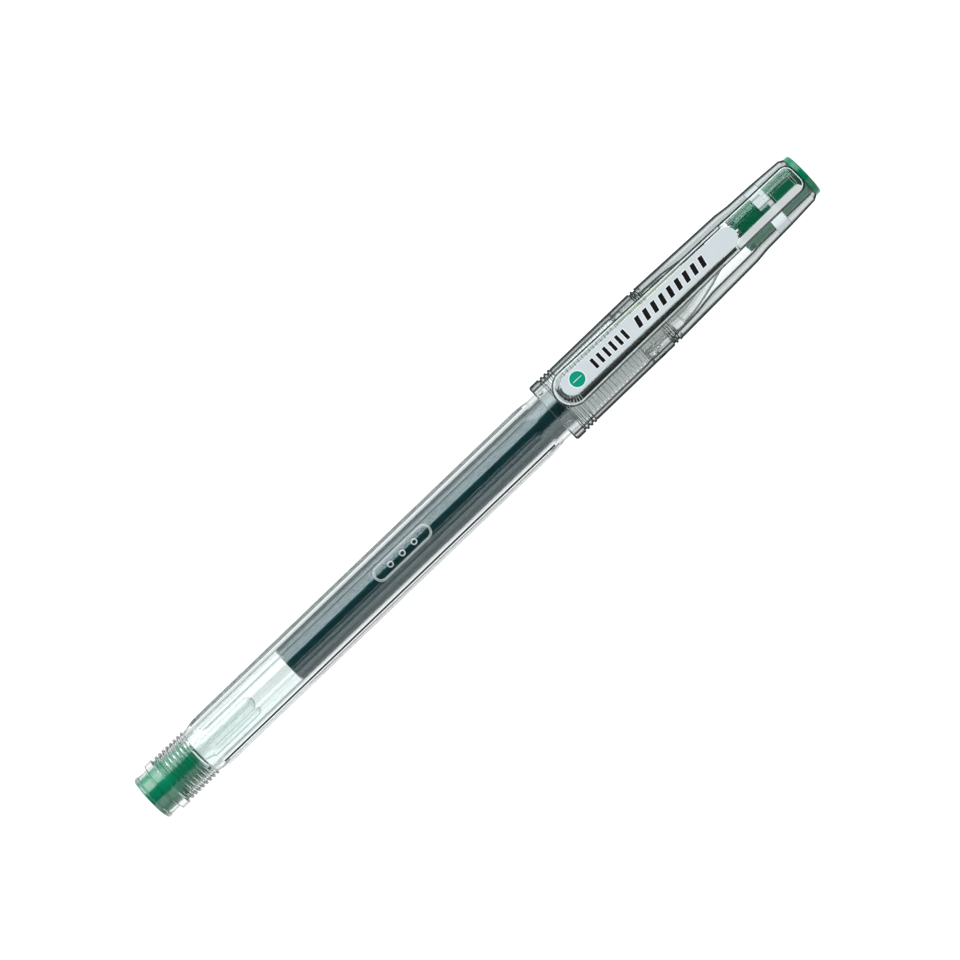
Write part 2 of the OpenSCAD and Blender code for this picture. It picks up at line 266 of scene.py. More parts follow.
def surface_texture(nodes, links, shader, scale, bump, rough_low, rough_high, stretch=(1, 1, 1)):
    """Fine moulding texture: roughness that varies a little, and a very slight bump."""
    coords = nodes.new("ShaderNodeTexCoord")
    mapping = nodes.new("ShaderNodeMapping")
    mapping.inputs["Scale"].default_value = stretch
    noise = nodes.new("ShaderNodeTexNoise")
    noise.inputs["Scale"].default_value = scale
    noise.inputs["Detail"].default_value = 4
    spread = nodes.new("ShaderNodeMapRange")
    spread.inputs["To Min"].default_value = rough_low
    spread.inputs["To Max"].default_value = rough_high
    dent = nodes.new("ShaderNodeBump")
    dent.inputs["Strength"].default_value = bump
    dent.inputs["Distance"].default_value = 0.00002
    links.new(coords.outputs["Object"], mapping.inputs["Vector"])
    links.new(mapping.outputs["Vector"], noise.inputs["Vector"])
    links.new(noise.outputs["Fac"], spread.inputs["Value"])
    links.new(noise.outputs["Fac"], dent.inputs["Height"])
    links.new(spread.outputs["Result"], shader.inputs["Roughness"])
    links.new(dent.outputs["Normal"], shader.inputs["Normal"])
    return noise


def set_stops(ramp, stops):
    """Gives a colour ramp its stops, each a position and a colour."""
    elements = ramp.color_ramp.elements
    while len(elements) < len(stops):
        elements.new(0.5)
    for element, (position, color) in zip(elements, stops):
        element.position = position
        element.color = (*color, 1)


def grey(stops):
    """The same stops, with each brightness as a grey."""
    return [(position, (bright,) * 3) for position, bright in stops]


def lets_lamps_through(nodes, links, skin, tint):
    """Lamps shine through a clear piece instead of leaving what is inside it in shadow."""
    path = nodes.new("ShaderNodeLightPath")
    clear = nodes.new("ShaderNodeBsdfTransparent")
    clear.inputs["Color"].default_value = (*tint, 1)
    mix = nodes.new("ShaderNodeMixShader")
    links.new(path.outputs["Is Shadow Ray"], mix.inputs["Fac"])
    links.new(skin, mix.inputs[1])
    links.new(clear.outputs["BSDF"], mix.inputs[2])
    links.new(mix.outputs["Shader"], nodes["Material Output"].inputs["Surface"])


def painted_rim_shade(nodes, links, skin, ior, rim, thin=False):
    """Painted shade: a near-black surface mixed into a skin met at a shallow angle, or a very shallow one for a thin
    line.
    """
    shade_amount = nodes.new("ShaderNodeValToRGB")
    if thin:
        mirror = nodes.new("ShaderNodeLayerWeight")
        stops = ((0.0, 0.0), (0.66, 0.0), (0.8, rim), (1.0, rim))
    else:
        mirror = nodes.new("ShaderNodeFresnel")
        mirror.inputs["IOR"].default_value = ior
        stops = ((0.0, 0.0), (0.1, 0.0), (0.19, rim), (0.6, rim), (0.9, 0.3 * rim), (1.0, 0.3 * rim))
    set_stops(shade_amount, grey(stops))
    dark = nodes.new("ShaderNodeBsdfDiffuse")
    dark.inputs["Color"].default_value = (0.012, 0.024, 0.023, 1)
    blend = nodes.new("ShaderNodeMixShader")
    links.new(mirror.outputs["Facing" if thin else "Fac"], shade_amount.inputs["Fac"])
    links.new(shade_amount.outputs["Color"], blend.inputs["Fac"])
    links.new(skin, blend.inputs[1])
    links.new(dark.outputs["BSDF"], blend.inputs[2])
    return blend.outputs["Shader"]


def clear_plastic(name, tint=(0.97, 0.985, 0.98), ior=1.5, rough=(0.0, 0.01), bump=0.01, clarity=1.0, rim=0.0,
                  density=0.0, thin=False):
    """Clear moulded plastic. A rim paints shade on its skin where it is met at a shallow angle, which draws the dark
    rim of a thick clear wall, and long ways through it are darker and greener."""
    material, nodes, links, shader = new_material(name)
    shader.inputs["Transmission Weight"].default_value = clarity
    shader.inputs["IOR"].default_value = ior
    flow = surface_texture(nodes, links, shader, 420, bump, *rough, stretch=(0.35, 1, 1))
    tone = nodes.new("ShaderNodeValToRGB")
    tone.color_ramp.elements[0].color = (*[0.985 * c for c in tint], 1)
    tone.color_ramp.elements[1].color = (*tint, 1)
    links.new(flow.outputs["Fac"], tone.inputs["Fac"])
    links.new(tone.outputs["Color"], shader.inputs["Base Color"])
    if density:
        depth = nodes.new("ShaderNodeVolumeAbsorption")
        depth.inputs["Color"].default_value = (0.4, 0.54, 0.56, 1)
        depth.inputs["Density"].default_value = density
        links.new(depth.outputs["Volume"], nodes["Material Output"].inputs["Volume"])
    skin = painted_rim_shade(nodes, links, shader.outputs["BSDF"], ior, rim, thin) if rim else shader.outputs["BSDF"]
    lets_lamps_through(nodes, links, skin, tint)
    return material


def solid_plastic(name, dark, light, rough=(0.16, 0.3), bump=0.25, glow=0.0, ior=1.5, rim=0.0):
    """Coloured moulded plastic, with faint flow marks in its colour."""
    material, nodes, links, shader = new_material(name)
    noise = surface_texture(nodes, links, shader, 600, bump, *rough, stretch=(0.3, 1, 1))
    ramp = nodes.new("ShaderNodeValToRGB")
    ramp.color_ramp.elements[0].position = 0.3
    ramp.color_ramp.elements[0].color = (*dark, 1)
    ramp.color_ramp.elements[1].position = 0.7
    ramp.color_ramp.elements[1].color = (*light, 1)
    links.new(noise.outputs["Fac"], ramp.inputs["Fac"])
    links.new(ramp.outputs["Color"], shader.inputs["Base Color"])
    shader.inputs["IOR"].default_value = ior
    shader.inputs["Subsurface Weight"].default_value = glow
    shader.inputs["Subsurface Scale"].default_value = 0.0006
    # painted shade: a near-black surface mixed into the skin where it is met at a shallow angle
    if rim:
        skin = painted_rim_shade(nodes, links, shader.outputs["BSDF"], ior, rim)
        links.new(skin, nodes["Material Output"].inputs["Surface"])
    return material


def metal(name, dark, light, rough=(0.12, 0.24)):
    """Turned or drawn metal: fine rings round the axis."""
    material, nodes, links, shader = new_material(name)
    noise = surface_texture(nodes, links, shader, 900, 0.3, *rough, stretch=(12, 1, 1))
    ramp = nodes.new("ShaderNodeValToRGB")
    ramp.color_ramp.elements[0].color = (*dark, 1)
    ramp.color_ramp.elements[1].color = (*light, 1)
    links.new(noise.outputs["Fac"], ramp.inputs["Fac"])
    links.new(ramp.outputs["Color"], shader.inputs["Base Color"])
    shader.inputs["Metallic"].default_value = 1.0
    return material


# rim= paints shade on a skin where it is met at a shallow angle; density= is absorption in the plastic itself
clear_barrel = clear_plastic("clear_barrel", rim=0.25, density=30)
# painted shade: a near-black rim on the barrel's bore where it is met at a very shallow angle
bore_wall = clear_plastic("bore_wall", rim=0.95, thin=True)
etched_barrel_painted_glow = clear_plastic("etched_barrel_painted_glow", tint=(0.99, 0.99, 0.99), rough=(0.08, 0.16), clarity=0.3)
etched_glow_shader = etched_barrel_painted_glow.node_tree.nodes["Principled BSDF"]
# painted light: a faint white glow on the etched grip stands in for the light its ribs scatter from behind
etched_glow_shader.inputs["Emission Color"].default_value = (1.0, 1.0, 1.0, 1)
etched_glow_shader.inputs["Emission Strength"].default_value = 0.045
# painted shade: a darker tint for the rib faces that face +X
rib_painted_shade = clear_plastic("rib_painted_shade", tint=(0.48, 0.52, 0.51), rough=(0.05, 0.12), clarity=0.5)
clear_nose = clear_plastic("clear_nose", rim=0.5)
clear_cap = clear_plastic("clear_cap", rim=0.9, density=68)
clear_clip = clear_plastic("clear_clip", rim=0.8, density=40)
# painted shade: a near-black skin that draws dark lines on the clip's side walls and in the cap's vent hole
painted_shade_skin = clear_plastic("painted_shade_skin", tint=(0.03, 0.05, 0.05), rough=(0.02, 0.06), rim=0.95)
# painted highlight: a pale skin that draws white lines on the emboss, round the window and along the clip
pale_painted_highlight = clear_plastic("pale_painted_highlight", tint=(0.99, 0.99, 0.98), rough=(0.1, 0.2), clarity=0.12)
clear_tube = clear_plastic("clear_tube", tint=(0.98, 0.99, 0.985), rim=0.25)
# painted shade: a strong dark rim on the tube's outside where there is ink inside
tube_over_ink_shade = clear_plastic("tube_over_ink_shade", tint=(0.98, 0.99, 0.985), rim=0.97)
grease = clear_plastic("grease", tint=(0.985, 0.995, 0.99), ior=1.47, rough=(0.0, 0.02), rim=0.15)
float_plastic = clear_plastic("float_plastic", tint=(0.93, 0.97, 0.96), rough=(0.06, 0.12), rim=0.3)
green_plastic = solid_plastic("green_plastic", (0.0, 0.205, 0.095), (0.0, 0.245, 0.115), rough=(0.08, 0.18))
seal_rubber = solid_plastic("seal_rubber", (0.01, 0.17, 0.09), (0.02, 0.22, 0.12), rough=(0.45, 0.6))
gel_ink = solid_plastic("gel_ink", (0.004, 0.03, 0.034), (0.006, 0.038, 0.043), rough=(0.01, 0.03), bump=0.01,
                        ior=1.62, rim=0.85)
gel_ink.node_tree.nodes["Principled BSDF"].inputs["Specular Tint"].default_value = (0.66, 0.93, 1.0, 1)
holder_plastic = solid_plastic("holder_plastic", (0.78, 0.77, 0.62), (0.86, 0.84, 0.7), rough=(0.3, 0.45), glow=0.3)
brass = metal("brass", (0.62, 0.4, 0.1), (0.86, 0.62, 0.22))
steel = metal("steel", (0.5, 0.5, 0.5), (0.75, 0.75, 0.76))
carbide = metal("carbide", (0.2, 0.2, 0.21), (0.35, 0.35, 0.36), rough=(0.05, 0.12))
label_foil = solid_plastic("label_foil", (0.66, 0.7, 0.715), (0.7, 0.735, 0.75), rough=(0.35, 0.5), bump=0.15)
# black for the print, and for the painted shade line along the barrel wall
print_and_shade_black = solid_plastic("print_and_shade_black", (0.003, 0.003, 0.003), (0.007, 0.007, 0.007), rough=(0.4, 0.55))
# painted shade: mottled near-black for the strips on the clip's -Y bevel
bevel_shade = solid_plastic("bevel_shade", (0.003, 0.004, 0.004), (0.03, 0.036, 0.034), rough=(0.2, 0.4))
print_white = solid_plastic("print_white", (0.86, 0.87, 0.87), (0.92, 0.92, 0.92), rough=(0.4, 0.55))
print_green = solid_plastic("print_green", (0.0, 0.3, 0.19), (0.0, 0.34, 0.22), rough=(0.4, 0.55))

# a low specular level for the print and for the painted shade strips
for print_and_shade_mark in (print_and_shade_black, bevel_shade, print_green):
    print_and_shade_mark.node_tree.nodes["Principled BSDF"].inputs["Specular IOR Level"].default_value = 0.12


# ---------------------------------------------------------------------------
# Barrel
# ---------------------------------------------------------------------------
def octagon_angles():
    """Directions that follow the rounded corners of the octagon closely and its flats evenly."""
    angles = []
    centre = (FLAT_DISTANCE - FLAT_ROUNDING) / math.cos(math.pi / 8)
    for k in range(8):
        flat = k * math.pi / 4
        edge = math.atan2(centre * math.sin(math.pi / 8), FLAT_DISTANCE)
        angles += [flat + edge * (j / 7 - 1) for j in range(15)]
        corner = flat + math.pi / 8
        for j in range(1, 9):
            turn = flat + j * math.pi / 36
            y = centre * math.sin(corner) + FLAT_ROUNDING * math.sin(turn)
            z = centre * math.cos(corner) + FLAT_ROUNDING * math.cos(turn)
            angles.append(math.atan2(y, z) % (2 * math.pi) if k else math.atan2(y, z))
    return sorted(a % (2 * math.pi) for a in angles)


def octagon_radius(angle):
    """Distance from the axis to the rounded octagon in a direction."""
    offset = (angle + math.pi / 8) % (math.pi / 4) - math.pi / 8
    centre = (FLAT_DISTANCE - FLAT_ROUNDING) / math.cos(math.pi / 8)
    edge = math.atan2(centre * math.sin(math.pi / 8), FLAT_DISTANCE)
    if abs(offset) <= edge:
        return FLAT_DISTANCE / math.cos(offset)
    delta = math.pi / 8 - abs(offset)
    return centre * math.cos(delta) + math.sqrt(FLAT_ROUNDING ** 2 - (centre * math.sin(delta)) ** 2)


def steps_between(a, b, count):
    return [(a[0] + (b[0] - a[0]) * k / count, a[1] + (b[1] - a[1]) * k / count) for k in range(count + 1)]


def make_barrel():
    corner_r = (FLAT_DISTANCE - FLAT_ROUNDING) / math.cos(math.pi / 8) + FLAT_ROUNDING + 0.05
    thread_bore_r, thread_start = 3.75, FRONT - 5.9
    tail = [(3.8, 0), (4.0, 0.2), (4.0, 0.6), (3.85, 0.75), (3.85, 2.5), (4.45, 2.7), (4.45, 4.0), (4.0, 4.2)]
    tail += rib_row(4.5, 8, 4.0, 4.35)
    grip = [(NECK_R, BODY_END), (NECK_R, FRONT - 20.1)] + rib_row(GRIP_START, GRIP_RIBS, NECK_R, 4.48)
    grip += [(NECK_R, FRONT - 6.04), (4.62, SNAP - 0.3), (4.62, SNAP + 0.3), (4.3, SNAP + 0.8), (4.3, FRONT - 0.2),
             (4.1, FRONT)]
    bore = [(thread_bore_r, FRONT), (thread_bore_r, thread_start), (BORE_R, thread_start), (BORE_R, 0.5),
            (3.71, 0.5), (3.71, 0)]
    rise = steps_between((4.05, BODY_START), (corner_r, BODY_START + BODY_TAPER), 24)
    fall = steps_between((corner_r, BODY_END - BODY_TAPER), (NECK_R, BODY_END - 0.02), 24)
    outline = rounded(tail + [(4.0, BODY_START - 0.04)], 0.05, closed=False) + rise + fall
    outline += rounded(grip + bore, 0.05, closed=False)

    def squared(radius, station, angle):
        if BODY_START <= station <= BODY_END - 0.01 and radius > 3.9:
            return min(radius, octagon_radius(angle))
        return radius

    barrel = revolve("clear_barrel", outline, octagon_angles(), squared)
    for side in range(4):
        turn = math.radians(45 + 90 * side)
        nub = revolve("nub", [(0, 0), (0.4, 0), (0.4, 0.6), (0.3, 0.75), (0, 0.75)])
        stand = Matrix.Rotation(math.radians(-90), 4, "Y")
        nub.data.transform(Matrix.Translation(-place(0, 0, 0)))
        nub.data.transform(stand)
        nub.data.transform(Matrix.Translation(Vector((0, 0, (NECK_R - 0.5) * MM))))
        nub.data.transform(Matrix.Rotation(turn, 4, "X"))
        nub.data.transform(Matrix.Translation(place(FRONT - 21.6, 0, 0)))
        combine(barrel, nub, "UNION")
    low, high = (NECK_R - 0.5), NECK_R + 0.14
    rib = loft("rib", [[place(s, y, h) for y, h in ((-0.1, low), (0.1, low), (0.1, high), (-0.1, high))]
                       for s in (FRONT - 22.3, FRONT - 20.1)])
    combine(barrel, rib, "UNION")
    attach(barrel, clear_barrel, "clear_barrel", "barrel", "barrel", sharp=11)
    barrel.data.materials.append(etched_barrel_painted_glow)
    barrel.data.materials.append(rib_painted_shade)
    barrel.data.materials.append(bore_wall)
    for face in barrel.data.polygons:
        station = station_of(face.center.x)
        radius = radius_of(face.center)
        # the grip's ribs are etched; their faces towards +X get the darker tint, painted shade
        if GRIP_START + 0.05 < station < GRIP_START + GRIP_RIBS * RIB_PITCH and radius > NECK_R - 0.05:
            face.material_index = 2 if face.normal.x > 0.5 else 1
        # painted shade on the faces of the bore
        elif radius < BORE_R + 0.05 and station > 9:
            face.material_index = 3
    return barrel


def ring_of_points(outline, height):
    """Points at one height, from a list of (station, y)."""
    return [place(s, y, height) for s, y in outline]


def stadium(start, end, y, half, steps=14):
    """A long outline with round ends, between two stations."""
    right = [(end - half + half * math.sin(a), y + half * math.cos(a))
             for a in (math.pi * k / steps for k in range(steps + 1))]
    left = [(start + half - half * math.sin(a), y - half * math.cos(a))
            for a in (math.pi * k / steps for k in range(steps + 1))]
    return right + left


def make_emboss():
    """A plain raised frame and three dots on the top flat of the barrel."""
    base, top = FLAT_DISTANCE - 0.01, FLAT_DISTANCE + 0.17
    start, end, half, line = 48.6, 60.2, 1.3, 0.32
    r = 0.5
    outer, inner = stadium(start, end, 0, half), stadium(start + line, end - line, 0, half - line)
    loops = [ring_of_points(outer, base),
             ring_of_points(stadium(start + 0.04, end - 0.04, 0, half - 0.04), top - 0.05),
             ring_of_points(stadium(start + 0.1, end - 0.1, 0, half - 0.1), top),
             ring_of_points(stadium(start + line - 0.1, end - line + 0.1, 0, half - line + 0.1), top),
             ring_of_points(stadium(start + line - 0.04, end - line + 0.04, 0, half - line + 0.04), top - 0.05),
             ring_of_points(inner, base)]
    verts = [p for ring in loops for p in ring]
    size, levels = len(outer), len(loops)
    faces = [[a * size + k, a * size + (k + 1) % size, (a + 1) % levels * size + (k + 1) % size,
              (a + 1) % levels * size + k] for a in range(levels) for k in range(size)]
    mesh = bpy.data.meshes.new("embossed_frame")
    mesh.from_pydata(verts, [], faces)
    outward(mesh)
    pieces = [make_object("embossed_frame", mesh)]
    for k, centre in enumerate((51.9, 54.4, 56.9)):
        dot = loft(f"embossed_dot_{k}", [
            ring_of_points(stadium(centre - r, centre + r, 0, r - 0.001), base),
            ring_of_points(stadium(centre - r + 0.05, centre + r - 0.05, 0, r - 0.051), top - 0.05),
            ring_of_points(stadium(centre - r + 0.14, centre + r - 0.14, 0, r - 0.141), top)])
        pieces.append(dot)
    for piece in pieces:
        attach(piece, clear_barrel, "clear_barrel", "barrel")
        piece.data.materials.append(pale_painted_highlight)
        # painted highlight: the sloping sides of the frame and dots get the pale skin
        for face in piece.data.polygons:
            face.material_index = 1 if 0.1 < abs(face.normal.z) < 0.9 else 0


def make_painted_wall_shade():
    """Painted shade: a thin black strip just under the barrel's skin, standing in for the dark line where the bore
    passes out of sight.
    """
    low, high, top, thick = math.radians(25.6), math.radians(29.6), 0.03, 0.05
    turns = [low + (high - low) * k / 4 for k in range(5)]
    edge = [(octagon_radius(a) - top, a) for a in turns]
    edge += [(r - thick, a) for r, a in reversed(edge)]
    line = loft("painted_wall_shade", [[place(s, -r * math.cos(a), r * math.sin(a)) for r, a in edge]
                              for s in (BODY_START + 1.84, BODY_END - 1.5)])
    attach(line, print_and_shade_black, "clear_barrel", "barrel")


def make_tail_plug():
    body, head, wall = BORE_R - FIT, 3.7, 1.0
    peg_ring = 2.9
    grooves = [p for s in (5.3, 6.1, 6.85, 7.6, 8.55)
               for p in ((body, s), (body - 0.2, s + 0.05), (body - 0.2, s + 0.25), (body, s + 0.3))]
    outline = [(0.5, 0), (head, 0), (head, 0.49), (body, 0.49), (body, 2.2), (body - 0.2, 2.3), (body - 0.2, 2.5),
               (body, 2.6), (body, 3.95), (BORE_R + FIT, 4.05), (BORE_R + FIT, 4.7), (body, 4.8)] + grooves + [
                   (body, 9.2), (body - 0.2, 9.4), (body - wall, 9.4), (body - wall, 1.4), (0.5, 1.4)]
    plug = revolve("tail_plug_body", rounded(outline, 0.06))
    for k in range(3):
        turn = math.radians(14 - 120 * k)
        peg = revolve("peg", rounded([(0, 9.2), (0.3, 9.2), (0.3, TUBE_START - FIT), (0, TUBE_START - FIT)], 0.12))
        shift = Vector((0, peg_ring * MM * math.sin(turn), peg_ring * MM * math.cos(turn)))
        peg.data.transform(Matrix.Translation(shift))
        combine(plug, peg, "UNION")
    return attach(plug, green_plastic, "green_plastic", "barrel", "tail_plug")


# ---------------------------------------------------------------------------
# Nose cone and refill
# ---------------------------------------------------------------------------
def make_nose_cone():
    start, spigot, thread = FRONT - 5.8, 3.64, 3.72
    inner, tip = TUBE_R + 0.1, 1.6
    ridges = [p for s in (start + 1.0, start + 2.2, start + 3.4)
              for p in ((spigot, s), (thread, s + 0.2), (thread, s + 0.5), (spigot, s + 0.7))]
    outline = [(inner, start), (spigot, start)] + ridges + [
        (spigot, FRONT + 0.02), (4.05, FRONT + 0.02), (NECK_R, FRONT + 0.17), (NECK_R, FRONT + 1.7),
        (4.1, FRONT + 1.8), (3.82, FRONT + 4.1), (3.32, FRONT + 6.6), (2.68, FRONT + 9.1), (1.95, FRONT + 11.4),
        (tip, FRONT + 12.25), (tip - 0.15, FRONT + 12.4), (1.25, FRONT + 12.4), (1.25, FRONT + 9.2),
        (1.45, FRONT + 9.1), (2.55, FRONT + 3.3), (2.55, FRONT - 1.2), (inner, FRONT - 1.2)]
    return attach(revolve("nose_cone_shell", rounded(outline, 0.06)), clear_nose, "clear_nose", "nose", "nose_cone",
                  sharp=20)


DOME = 0.12


def quarter_turn(steps):
    """Angles from 0 to a right angle."""
    return [math.pi / 2 * k / steps for k in range(steps + 1)]


def make_tube():
    """The ink tube. Where there is ink inside, its outside gets painted shade: it is darker at the edges."""
    outline = rounded([(TUBE_BORE_R, TUBE_START), (TUBE_R, TUBE_START), (TUBE_R, TUBE_END), (TUBE_BORE_R, TUBE_END)],
                      0.08)
    split = next(k for k, point in enumerate(outline) if point[1] > INK_END)
    tube = revolve("ink_tube", outline[:split] + [(TUBE_R, INK_END)] + outline[split:])
    attach(tube, clear_tube, "clear_tube", "refill", "refill_tube")
    tube.data.materials.append(tube_over_ink_shade)
    for face in tube.data.polygons:
        if station_of(face.center.x) > INK_END and radius_of(face.center) > TUBE_R - 0.05:
            face.material_index = 1
    return tube


def make_ink():
    """The ink wets the tube, so its surface lies just inside the wall of the bore."""
    r = TUBE_BORE_R + FIT
    start, end = INK_END + FIT, HOLDER_START - FIT
    rings = 60
    dome = [(r * math.sin(a), start + DOME * (1 - math.cos(a))) for a in quarter_turn(8)]
    side = [(r, start + DOME + (end - start - DOME) * k / rings) for k in range(1, rings + 1)]
    ink = revolve("ink_column", dome + side + [(0, end)])
    attach(ink, gel_ink, "gel_ink", "refill", "ink")
    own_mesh(ink)
    feed = revolve("ink_in_feed", rounded([(0, HOLDER_START), (1.55, HOLDER_START), (1.55, FRONT + 5.29),
                                           (0, FRONT + 5.29)], 0.05))
    return attach(feed, gel_ink, "gel_ink", "refill", "feed_ink")


def float_outline(gap):
    """Outline of the float in the grease, with a round nose. A gap makes it larger."""
    r, nose = 1.25 + gap, INK_END - 7.75 - 1.25
    arc = [(r * math.cos(a), nose + r * math.sin(a)) for a in quarter_turn(12)]
    start = TUBE_START + 0.05
    return [(0, start - gap), (r * 0.75, start - gap), (r, start + 1.6)] + arc


def make_follower():
    r = TUBE_BORE_R + FIT
    start = TUBE_START + 0.1
    front = [(r * math.cos(a), INK_END - DOME + DOME * math.sin(a)) for a in quarter_turn(8)]
    outline = front[::-1] + [(r, start), (0.93, start)] + float_outline(-FIT)[2:]
    grease_piece = revolve("grease_follower", outline)
    attach(grease_piece, grease, "grease", "follower", "follower", sharp=45)
    plug = revolve("follower_float_body", float_outline(0))
    return attach(plug, float_plastic, "float_plastic", "follower", "follower_float", sharp=45)


def make_tip():
    bore = TUBE_BORE_R - FIT
    shoulder, neck = FRONT - 1.3, 2.45
    outline = [(1.56, HOLDER_START), (bore, HOLDER_START), (bore, TUBE_END + FIT), (TUBE_R, TUBE_END + FIT),
               (TUBE_R, shoulder), (neck, shoulder), (neck, FRONT + 3.1), (1.35, FRONT + 8.9), (1.35, FRONT + 9),
               (0.91, FRONT + 9), (0.91, FRONT + 5.3), (1.56, FRONT + 5.3)]
    attach(revolve("tip_holder_body", rounded(outline, 0.08)), holder_plastic, "holder_plastic", "refill",
           "tip_holder")
    outline = [(0.26, FRONT + 5.4), (0.9, FRONT + 5.4), (0.9, FRONT + 9.01), (1.15, FRONT + 9.01),
               (1.15, FRONT + 11.6), (1.05, FRONT + 11.8), (0.48, FRONT + 13), (0.37, FRONT + 13),
               (0.37, FRONT + 9.99), (0.26, FRONT + 9.99)]
    attach(revolve("brass_shank", rounded(outline, 0.06)), brass, "brass", "refill", "tip_shank")
    ball_x, ball_r = TIP_END - 0.14, 0.25
    outline = [(0.26, FRONT + 10), (0.36, FRONT + 10), (0.36, TIP_END - 0.6), (0.298, TIP_END - 0.05),
               (0.268, TIP_END), (0.228, TIP_END), (0.26, TIP_END - 0.1), (0.26, ball_x - 0.15),
               (0.15, ball_x - 0.25), (0.15, ball_x - 0.4), (0.26, ball_x - 0.5)]
    attach(revolve("steel_pipe", rounded(outline, 0.01)), steel, "steel", "refill", "needle_pipe")
    outline = [(ball_r * math.sin(a), ball_x - ball_r * math.cos(a)) for a in (math.pi * k / 24 for k in range(25))]
    attach(revolve("ball", outline), carbide, "carbide", "ball", "writing_ball")


# ---------------------------------------------------------------------------
# Cap
# ---------------------------------------------------------------------------
CAP_BORE_R = 4.75
CHAMBER_R = 3.35
CHAMBER_END = MOUTH + 44.3
RECESS_START = MOUTH + 46.7
RECESS_R = 3.05
HOLE_R = 0.58
PIVOT = MOUTH + 45.8
PIVOT_HEIGHT = 5.67
VENT = MOUTH + 18.5
VENT_R = 0.7
KEY_START = RECESS_START + 0.4
KEY_END = SHELL_END - 1.6
KEY_HALF = 0.95
KEY_TOP = 3.7
CROWN_END = [(4.62, MOUTH + 41.3), (4.45, MOUTH + 46.5), (4.15, SHELL_END - 0.7), (3.77, SHELL_END)]


def cap_outside():
    lip_end, step, groove, wall = MOUTH + 2, MOUTH + 20.9, 5.22, 5.38
    rings = [p for i in range(3) for s in (lip_end + i * RIB_PITCH,)
             for p in ((groove, s), (groove, s + 0.25), (LIP_R, s + 0.33), (LIP_R, s + 0.73))]
    rings_end = lip_end + 3 * RIB_PITCH
    low = groove - 0.1
    return [(LIP_R - 0.25, MOUTH), (LIP_R, MOUTH + 0.25), (LIP_R, lip_end - 0.08)] + rings + [
        (groove, rings_end), (wall, rings_end + 0.1), (wall, step), (low, step + 0.15), (low, step + 0.4),
        (wall, step + 0.5), (wall, step + 0.75), (low, step + 0.85), (low, step + 1.2), (5.4, MOUTH + 22.2),
        (5.33, MOUTH + 22.6), (4.9, MOUTH + 38.9)] + CROWN_END


def outer_radius_at(station):
    """Radius of the cap's outside at a station near the crown."""
    for (r0, s0), (r1, s1) in zip(CROWN_END, CROWN_END[1:]):
        if station <= s1:
            return r0 + (r1 - r0) * (station - s0) / (s1 - s0)
    return CROWN_END[-1][0]


def make_key(name, gap):
    """The key of the crown plug, or the cutter for its window if a gap is given."""
    start, end, half, top = KEY_START - gap, KEY_END + gap, KEY_HALF + gap, KEY_TOP + gap
    return loft(name, [[place(s, y, h) for y, h in ((-half, 2.65), (half, 2.65), (half, top), (-half, top))]
                       for s in (start, end)])


def make_cap_shell():
    inside = [(RECESS_R, SHELL_END), (RECESS_R, RECESS_START), (HOLE_R, RECESS_START), (HOLE_R, CHAMBER_END),
              (CHAMBER_R, CHAMBER_END), (CHAMBER_R, MOUTH + 40.9), (3.5, MOUTH + 39.3), (3.65, MOUTH + 30.6),
              (4.2, MOUTH + 26.8), (4.35, MOUTH + 22.9), (CAP_BORE_R, MOUTH + 20.9), (CAP_BORE_R, SNAP - 0.7),
              (4.65, SNAP - 1.1), (CAP_BORE_R, SNAP - 1.9), (CAP_BORE_R, MOUTH + 0.3), (CAP_BORE_R + 0.15, MOUTH)]
    shell = revolve("clear_cap_shell", rounded(cap_outside() + inside, 0.06))
    drill = revolve("drill", [(0, 0), (VENT_R, 0), (VENT_R, 2.2), (0, 2.2)])
    move_piece(drill, Matrix.Rotation(math.radians(90), 4, "Z"), place(VENT, -6.38, 0))
    combine(shell, drill, "DIFFERENCE")
    combine(shell, make_key("window", 0.12), "DIFFERENCE")
    attach(shell, clear_cap, "clear_cap", "cap", "cap_shell", sharp=25)
    shell.data.materials.append(painted_shade_skin)
    # painted shade: the wall of the vent hole gets the near-black skin
    for face in shell.data.polygons:
        reach = math.hypot(station_of(face.center.x) - VENT, (face.center.z - AXIS_Z) / MM)
        if face.center.y < -4.3 * MM and reach < VENT_R + 0.02 and abs(face.normal.y) < 0.5:
            face.material_index = 1
    return shell


def make_window_highlights():
    """Four pale strips round the key of the crown plug, in the gap of its window: painted highlights on the window's
    edges.
    """
    half, gap = KEY_HALF, 0.1
    strips = ((KEY_START - gap, KEY_END + gap, half + FIT, half + gap),
              (KEY_START - gap, KEY_END + gap, -half - gap, -half - FIT),
              (KEY_START - gap, KEY_START - FIT, -half - FIT, half + FIT),
              (KEY_END + FIT, KEY_END + gap, -half - FIT, half + FIT))
    for k, (s0, s1, y0, y1) in enumerate(strips):
        plan = [(s0, y0), (s1, y0), (s1, y1), (s0, y1)]
        edge = loft(f"window_highlight_{k}", [ring_of_points(plan, h) for h in (KEY_TOP - 0.3, KEY_TOP)])
        attach(edge, pale_painted_highlight, "clear_cap", "cap")


